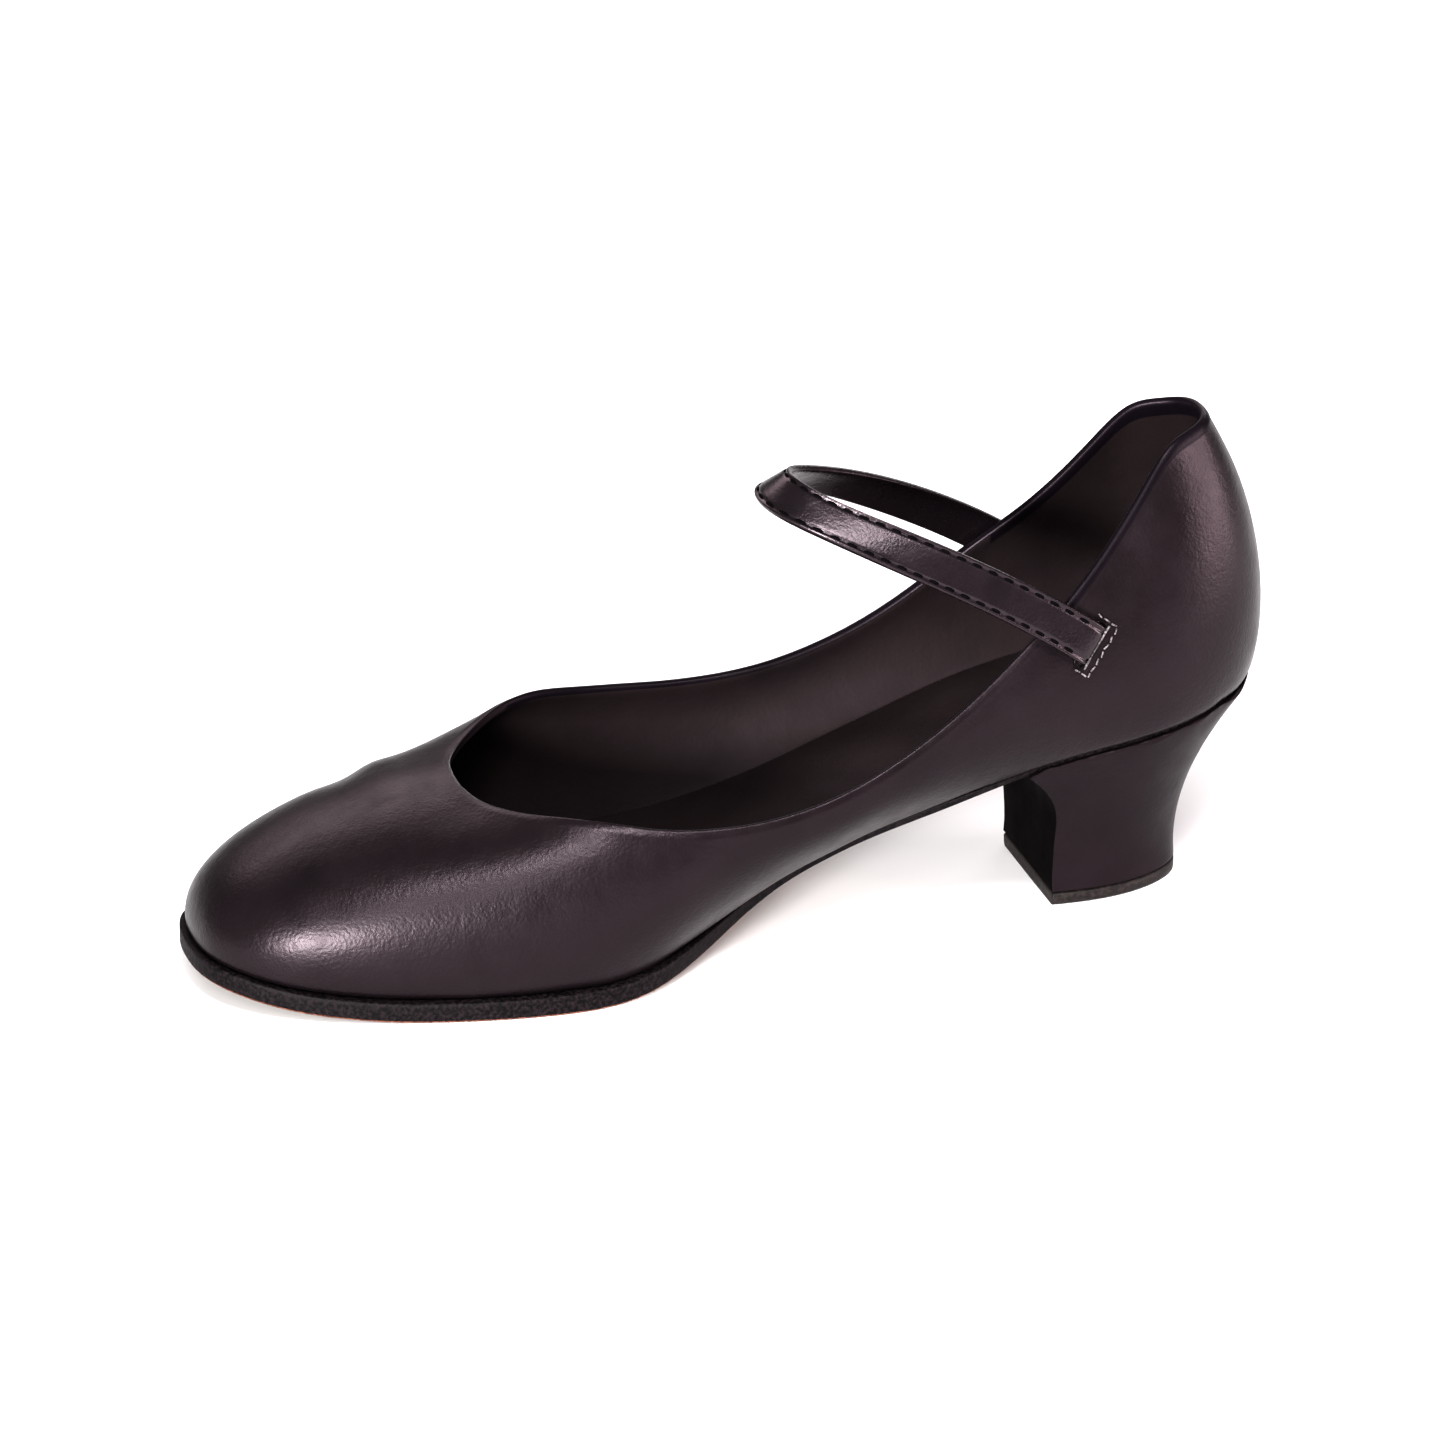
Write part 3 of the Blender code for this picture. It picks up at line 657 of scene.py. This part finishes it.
def shape_fold(bm, line, width, height):
    """Raises the skin along a line, or presses it in where the height is negative. It fades at both ends."""
    points = [Vector(place) * MM for place in line]
    moves = []
    for vertex in bm.verts:
        if not any(face.material_index == LEATHER for face in vertex.link_faces):
            continue
        distance, t = along_line(vertex.co, points)
        if distance < 3 * width:
            rise = height * math.exp(-((distance / width) ** 2)) * math.sin(math.pi * t) ** 0.7
            moves.append((vertex, vertex.normal * rise))
    for vertex, move in moves:
        vertex.co += move
    return len(moves)


# %% Fold the vamp
TOE_RIDGE = ((-37, -66, 17), (-27, -71.5, 33.5), (-16, -74, 38), (2, -76, 38.5))
TOE_HOLLOW = ((-37, -73, 15), (-29, -78, 29.5), (-18, -81, 35.5), (0, -84, 36.5))

upper_bm = rounded(upper_bm, 1)
moved = shape_fold(upper_bm, TOE_RIDGE, 3.4 * MM, 0.95 * MM)
moved += shape_fold(upper_bm, TOE_HOLLOW, 3.6 * MM, -0.8 * MM)
print("vertices moved by folds:", moved)

# %% Finish the upper
crease_where_kinds_meet(upper_bm, {LEATHER, EDGE_AND_SHADE}, 0.8)
upper = make_piece("shoe_upper", upper_bm, [upper_leather, lining_leather, edge_leather_and_painted_shade], 1)
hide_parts("upper")

# %% [markdown]
# ## Drawing cords and bands
# Lips, threads and the strap are all one profile drawn along a path. A circle's face takes the profile's
# shape, is extruded from frame to frame, and is moved each time by the matrix between two frames. That gives
# a closed tube of regular faces, which a bent cylinder wouldn't.

# %% Sweep a profile
def sweep(bm, profile, frames):
    """Extrudes a profile's face through a run of frames. A frame's first two columns scale the profile."""
    bmesh.ops.create_circle(bm, cap_ends=True, segments=len(profile), radius=1)
    bm.faces.ensure_lookup_table()
    face = bm.faces[-1]
    for vertex, (across, up) in zip(face.verts, profile):
        vertex.co = frames[0] @ Vector((across, up, 0))
    for here, following in zip(frames, frames[1:]):
        made = bmesh.ops.extrude_face_region(bm, geom=[face])["geom"]
        if here is not frames[0]:
            bmesh.ops.delete(bm, geom=[face], context="FACES_ONLY")
        face = next(item for item in made if isinstance(item, bmesh.types.BMFace))
        bmesh.ops.transform(bm, matrix=following @ here.inverted(), verts=face.verts)
    bmesh.ops.recalc_face_normals(bm, faces=bm.faces)


ROUND_PROFILE = [(math.cos(math.tau * i / 8), math.sin(math.tau * i / 8)) for i in range(8)]
print("corners of a cord's profile:", len(ROUND_PROFILE))

# %% A cord on a surface
def cord_frames(points, normals, half_width, half_height):
    """Frames for a cord that lies on a surface through these points."""
    frames = []
    for index, (point, out) in enumerate(zip(points, normals)):
        along = (points[min(index + 1, len(points) - 1)] - points[max(index - 1, 0)]).normalized()
        side = along.cross(out).normalized()
        frames.append(frame_at(point, side * half_width, out * half_height, along))
    return frames


# %% [markdown]
# ## The slits' lips
# The strap's end goes in through a slit in the quarter, and a thin rolled lip keeps the slit from tearing.
# The lip is drawn on the wall: each place is dropped onto the finished upper along a ray, so that nothing
# floats or sinks.

# %% Places on the wall
upper_surface = BVHTree.FromObject(upper, bpy.context.evaluated_depsgraph_get())
CAST_FROM = 6 * MM
CAST_REACH = 12 * MM


def on_wall(slit, length, run, height):
    """The wall's place beside a slit, in mm along the slit, along the strap's run and up, and the way out."""
    start = slit @ Vector((length * MM, CAST_FROM, run * MM))
    place, normal, _, _ = upper_surface.ray_cast(start, -slit.col[1].to_3d(), CAST_REACH)
    return place + normal * height * MM, normal


def draw_on_wall(bm, slit, line, half_width, half_height, height):
    """A cord through (length, run) places beside a slit, all in mm."""
    placed = [on_wall(slit, length, run, height) for length, run in line]
    points, normals = zip(*placed)
    sweep(bm, ROUND_PROFILE, cord_frames(points, normals, half_width * MM, half_height * MM))


# %% Rolled lips
LIP_LENGTH = 5.5
LIP_GAP = 1.5
LIP_STEPS = 32
ROLL_HALF_WIDTH = 0.45
ROLL_HALF_HEIGHT = 0.38
ROLL_RISE = 0.12


def squarer(value, power):
    """Pushes a sine or cosine towards 1 or -1, so that a loop drawn with it gets fuller corners."""
    return math.copysign(abs(value) ** power, value)


lip_turns = [math.tau * (step / LIP_STEPS + 0.25) for step in range(LIP_STEPS + 1)]
lip_loop = [(squarer(math.cos(t), 0.5) * LIP_LENGTH, squarer(math.sin(t), 0.7) * LIP_GAP) for t in lip_turns]
lip_bm = bmesh.new()
for slit in slits:
    draw_on_wall(lip_bm, slit, lip_loop, ROLL_HALF_WIDTH, ROLL_HALF_HEIGHT, ROLL_RISE)
# The lips take the folded edge's darker leather, whose tone is partly painted shade.
lips = make_piece("slit_lips", lip_bm, [edge_leather_and_painted_shade], 1)

# %% [markdown]
# ## Box stitches
# A box of hand-set stitches in grey thread holds the layers together round each slit. They are listed one by
# one, because in the photograph no two are alike, and evenly spaced ones would look printed.

# %% Stitches round the slits
# Each stitch: where it starts and ends beside the slit, and its half width, in mm
BOX_STITCHES = (
    ((-5.6, -1.5), (-3.4, -1.35), 0.30),
    ((-3.6, -1.45), (-0.6, -1.3), 0.32),
    ((-0.9, -1.35), (2.3, -1.3), 0.30),
    ((2.0, -1.4), (5.4, -1.6), 0.30),
    ((-5.9, -3.3), (-4.5, -3.6), 0.22),
    ((-4.0, -3.3), (-2.5, -3.7), 0.24),
    ((-2.2, -3.6), (-0.6, -3.2), 0.22),
    ((-0.2, -3.3), (1.2, -3.7), 0.23),
    ((1.6, -3.2), (3.1, -3.6), 0.24),
    ((3.4, -3.6), (4.9, -3.2), 0.22),
    ((5.2, -3.3), (6.3, -3.5), 0.22),
    ((-6.3, -3.1), (-6.1, -1.7), 0.24),
    ((-6.2, -1.2), (-6.3, 0.4), 0.24),
    ((-6.1, 0.8), (-6.5, 2.0), 0.22),
    ((6.3, -3.0), (6.2, -1.6), 0.24),
    ((6.2, -1.1), (6.3, 0.3), 0.22),
)
ON_LIP = -2
THREAD_HALF_HEIGHT = 0.22
THREAD_RISE = 0.16
RISE_OVER_LIP = 0.35

box_bm = bmesh.new()
for slit in slits:
    for start, end, half_width in BOX_STITCHES:
        line = [tuple(a + (b - a) * t for a, b in zip(start, end)) for t in (0, 0.2, 0.5, 0.8, 1)]
        rise = THREAD_RISE + (RISE_OVER_LIP if min(start[1], end[1]) > ON_LIP else 0)
        draw_on_wall(box_bm, slit, line, half_width, THREAD_HALF_HEIGHT, rise)
box_threads = make_piece("slit_stitches", box_bm, [grey_thread], 1)
print("box stitches:", 2 * len(BOX_STITCHES))

# %% [markdown]
# ## The sole
# The sole is one thin piece of leather, cut to a line just outside the upper and inked black at its edge.
# The edge is rough and speckled, with a thin brown line in front where the ink stops, and the tread is brown
# suede. Faces are sorted by how far they look downwards. Under the heel seat the sole draws back a little,
# to leave room for the lip of the heel's cover.

# %% Sort and crease the sole
SOLE_SIDE, SOLE_LINE, SOLE_TREAD = range(3)
LOOKS_DOWN = -0.88
LOOKS_PARTLY_DOWN = -0.35
LINE_TO = -5 * MM
HEEL_FROM = 58 * MM

sole_bm = working_copy("outsole")
for face in sole_bm.faces:
    along = face.calc_center_median().y
    if face.normal.z < LOOKS_DOWN and along < HEEL_FROM:
        face.material_index = SOLE_TREAD
    elif face.normal.z < LOOKS_PARTLY_DOWN and along < LINE_TO:
        face.material_index = SOLE_LINE
    else:
        face.material_index = SOLE_SIDE
crease_edges(sole_bm, 20, 0.7)
print("tread faces:", sum(face.material_index == SOLE_TREAD for face in sole_bm.faces))

# %% Draw back the seat and finish
SEAT_FROM = 60 * MM
SEAT_DRAWN_BACK = 0.9 * MM
DRAWN_OVER = 6 * MM
AT_THE_SIDE = 0.3


def level_way(vertex):
    """The way out from the piece at this corner, without its rise or fall."""
    return Vector((vertex.normal.x, vertex.normal.y, 0))


for vertex in sole_bm.verts:
    flat = level_way(vertex)
    if vertex.co.y > SEAT_FROM and flat.length > AT_THE_SIDE:
        share = min(1, (vertex.co.y - SEAT_FROM) / DRAWN_OVER)
        vertex.co -= flat.normalized() * SEAT_DRAWN_BACK * share
sole = make_piece("shoe_sole", sole_bm, [sole_edge_black, sole_edge_brown, sole_suede])
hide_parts("outsole")

# %% [markdown]
# ## The insole
# A thin sheet of dull leather covers the inside's floor. The solid lies clear of the wall all round, so its
# corners are moved out until it meets the lining, as a glued-in sheet does.

# %% Insole
REACH_TO_WALL = 0.8 * MM

insole_bm = working_copy("insole")
for vertex in insole_bm.verts:
    flat = level_way(vertex)
    if flat.length > AT_THE_SIDE:
        vertex.co += flat.normalized() * REACH_TO_WALL
crease_edges(insole_bm, 25, 0.6)
insole = make_piece("shoe_insole", insole_bm, [sock_leather])
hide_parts("insole")

# %% [markdown]
# ## The heel
# A block covered in leather, with a hollowed front called the breast and a sharp front corner. The solid's
# front is flat but cut into slivers, which would round badly. So the close corners are welded, the flat
# faces become one, and that one is cut again into level rows that meet the rows of the sides.

# %% A clean breast
SLIVER = 0.25 * MM
FLAT_FRONT = -0.99

heel_bm = working_copy("heel", weld=SLIVER)
flat_breast = [face for face in heel_bm.faces if face.normal.y < FLAT_FRONT]
for whole in bmesh.ops.dissolve_faces(heel_bm, faces=flat_breast)["region"]:
    levels = sorted(whole.verts, key=lambda vertex: vertex.co.z)
    for first, second in zip(levels[2:-2:2], levels[3:-2:2]):
        bmesh.ops.connect_vert_pair(heel_bm, verts=[first, second])
    print("breast rows:", len(levels) // 2 - 1)
heel_bm.normal_update()

# %% [markdown]
# ## The lip of the heel's cover
# The cover is pulled up over the seat's edge and laps the sole in a thin dark line. Two insets make a narrow
# ring on the seat, and raising the ring's corners gives the lip. It starts from nothing at the breast, where
# the cover is tucked under the sole.

# %% Raise the lip
SEAT_LOOKS_UP = 0.85
SEAT_ABOVE = 34 * MM
LIP_WIDTH = 0.55 * MM
LIP_FOOT = 0.15 * MM
COVER_LIP = 1.35 * MM
LIP_FROM = 60.0 * MM
LIP_RISES_OVER = 5.5 * MM


def border_of(faces):
    """The corners that these faces share with others."""
    return {v for f in faces for v in f.verts if any(g not in faces for g in v.link_faces)}


seat_faces = [
    face for face in heel_bm.faces
    if face.normal.z > SEAT_LOOKS_UP and face.calc_center_median().z > SEAT_ABOVE
]
lip_corners = border_of(set(seat_faces))
bmesh.ops.inset_region(heel_bm, faces=seat_faces, thickness=LIP_WIDTH, depth=0.0, use_even_offset=True)
lip_corners |= border_of(set(seat_faces))
bmesh.ops.inset_region(heel_bm, faces=seat_faces, thickness=LIP_FOOT, depth=0.0, use_even_offset=True)
for vertex in lip_corners:
    vertex.co.z += COVER_LIP * max(0, min(1, (vertex.co.y - LIP_FROM) / LIP_RISES_OVER))
print("seat faces:", len(seat_faces), "corners raised:", len(lip_corners))

# %% [markdown]
# ## The heel's skin
# The cover is one thin hide, drawn tight, and the breast is a second, dull piece whose near-black tone is
# painted shade, the shade inside the hollow front. The heel is rounded first and bevelled after, because a
# bevel cut before rounding would be melted with the rest. The bevel is the hide's own bend over a sharp
# corner, and it catches a fine line of light.

# %% Round and finish the heel
HEEL_COVER, HEEL_BREAST_SHADE = range(2)
LOOKS_FORWARD = -0.5
SHARP_TURN = math.radians(38)
COVER_BEND = 0.16 * MM

# Faces looking forward get the breast's near-black finish, which is painted shade.
for face in heel_bm.faces:
    face.material_index = HEEL_BREAST_SHADE if face.normal.y < LOOKS_FORWARD else HEEL_COVER
crease_edges(heel_bm, 35, 1.0)
heel_bm = rounded(heel_bm, 2)
sharp_edges = [edge for edge in heel_bm.edges if edge.calc_face_angle(0) > SHARP_TURN]
bevel_edges(heel_bm, sharp_edges, COVER_BEND)
print("heel faces:", len(heel_bm.faces))
heel = make_piece("shoe_heel", heel_bm, [heel_leather, painted_shade_breast], 0)
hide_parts("heel")

# %% [markdown]
# ## The top piece
# The last thin lift under the heel takes the wear, so it is rubber and is nailed on. It stays as the solid
# has it, with its edges a little softened.

# %% Top piece
tip_bm = working_copy("heel_top_piece")
crease_edges(tip_bm, 35, 0.8)
tip = make_piece("shoe_top_piece", tip_bm, [heel_rubber])
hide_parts("heel_top_piece")

# %% [markdown]
# ## The strap
# A narrow band of the same hide with a harder gloss, turned at its edges and sewn along both sides. Each row
# of stitches lies in a shallow channel, and the turned edge outside it stands up as a bead. One profile with
# those channels is drawn from section to section. The band starts and ends inside the wall, between the
# leather and the lining.

# %% Strap profile
STITCH_ROW = 0.745
CHANNEL_FLOOR = 0.66
# From the middle of the outer face round to the inner face: shares of the half width and half thickness
half_profile = [
    (0.30, 1.03), (0.58, 1.00), (0.65, 0.92),
    (STITCH_ROW - 0.03, CHANNEL_FLOOR), (STITCH_ROW + 0.03, CHANNEL_FLOOR),
    (0.84, 0.92), (0.89, 1.00), (0.94, 0.92), (0.99, 0.50),
    (1.00, 0.00), (0.99, -0.60), (0.93, -0.97), (0.50, -1.00),
]
other_half = [(-across, up) for across, up in reversed(half_profile)]
strap_profile = [(0.0, 1.04)] + half_profile + [(0.0, -1.0)] + other_half
print("corners of the strap's profile:", len(strap_profile))

# %% Strap band
INTO_WALL = 0.6

arch = strap_frames[OUTER_TURN:-OUTER_TURN]
in_first_wall = strap_frames[INNER_TURN].lerp(strap_frames[OUTER_TURN], INTO_WALL)
in_last_wall = strap_frames[-INNER_TURN - 1].lerp(strap_frames[-OUTER_TURN - 1], INTO_WALL)
strap_bm = bmesh.new()
sweep(strap_bm, strap_profile, [in_first_wall] + arch + [in_last_wall])
print("strap faces before rounding:", len(strap_bm.faces))
strap = make_piece("shoe_strap", strap_bm, [strap_leather])
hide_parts("instep_strap")

# %% [markdown]
# ## Stitches along the strap
# Each stitch is one bead of thread, longer than it is wide, half sunk in its channel. A few dozen faces are
# enough, as there are so many. Places are found by walking the strap's sections for a distance, so that the
# stitches stay evenly spaced round the bend.

# %% Places along the strap
def place_on_strap(distance, across, up):
    """A point on the strap, by its distance along from the first slit, and the way out there."""
    for here, following in zip(strap_frames[OUTER_TURN:], strap_frames[OUTER_TURN + 1:]):
        length = (following.translation - here.translation).length
        if distance <= length:
            t = distance / length
            place = (here @ Vector((across, up, 0))).lerp(following @ Vector((across, up, 0)), t)
            return place, here.col[1].to_3d().lerp(following.col[1].to_3d(), t).normalized()
        distance -= length
    return None


arch_length = sum((b.translation - a.translation).length for a, b in zip(arch, arch[1:]))
print("arch between the slits, mm:", round(arch_length / MM))

# %% Sew
PITCH = 3.8 * MM
STITCH = 2.3 * MM
ENDS_CLEAR = 3 * MM
THREAD_WIDTH = 0.85 * MM
THREAD_HEIGHT = 0.50 * MM
THREAD_LEVEL = 0.74


def add_stitch(bm, start, end, out):
    """One stitch from start to end, lying on a surface that faces out."""
    along = (end - start) / 2
    side = out.cross(along).normalized() * THREAD_WIDTH / 2
    up = along.cross(side).normalized() * THREAD_HEIGHT / 2
    if up.dot(out) < 0:
        up.negate()
    place = frame_at((start + end) / 2, side, up, along)
    bmesh.ops.create_uvsphere(bm, u_segments=8, v_segments=6, radius=1.0, matrix=place)


stitch_count = int((arch_length - ENDS_CLEAR) / PITCH)
start_at = (arch_length - stitch_count * PITCH) / 2 + (PITCH - STITCH) / 2
row_bm = bmesh.new()
for across in (STITCH_ROW, -STITCH_ROW):
    for number in range(stitch_count):
        begin = start_at + number * PITCH
        start, out = place_on_strap(begin, across, THREAD_LEVEL)
        end, _ = place_on_strap(begin + STITCH, across, THREAD_LEVEL)
        add_stitch(row_bm, start, end, out)
bmesh.ops.recalc_face_normals(row_bm, faces=row_bm.faces)
rows = make_piece("strap_stitches", row_bm, [black_thread], 0)
print("stitches on the strap:", 2 * stitch_count)
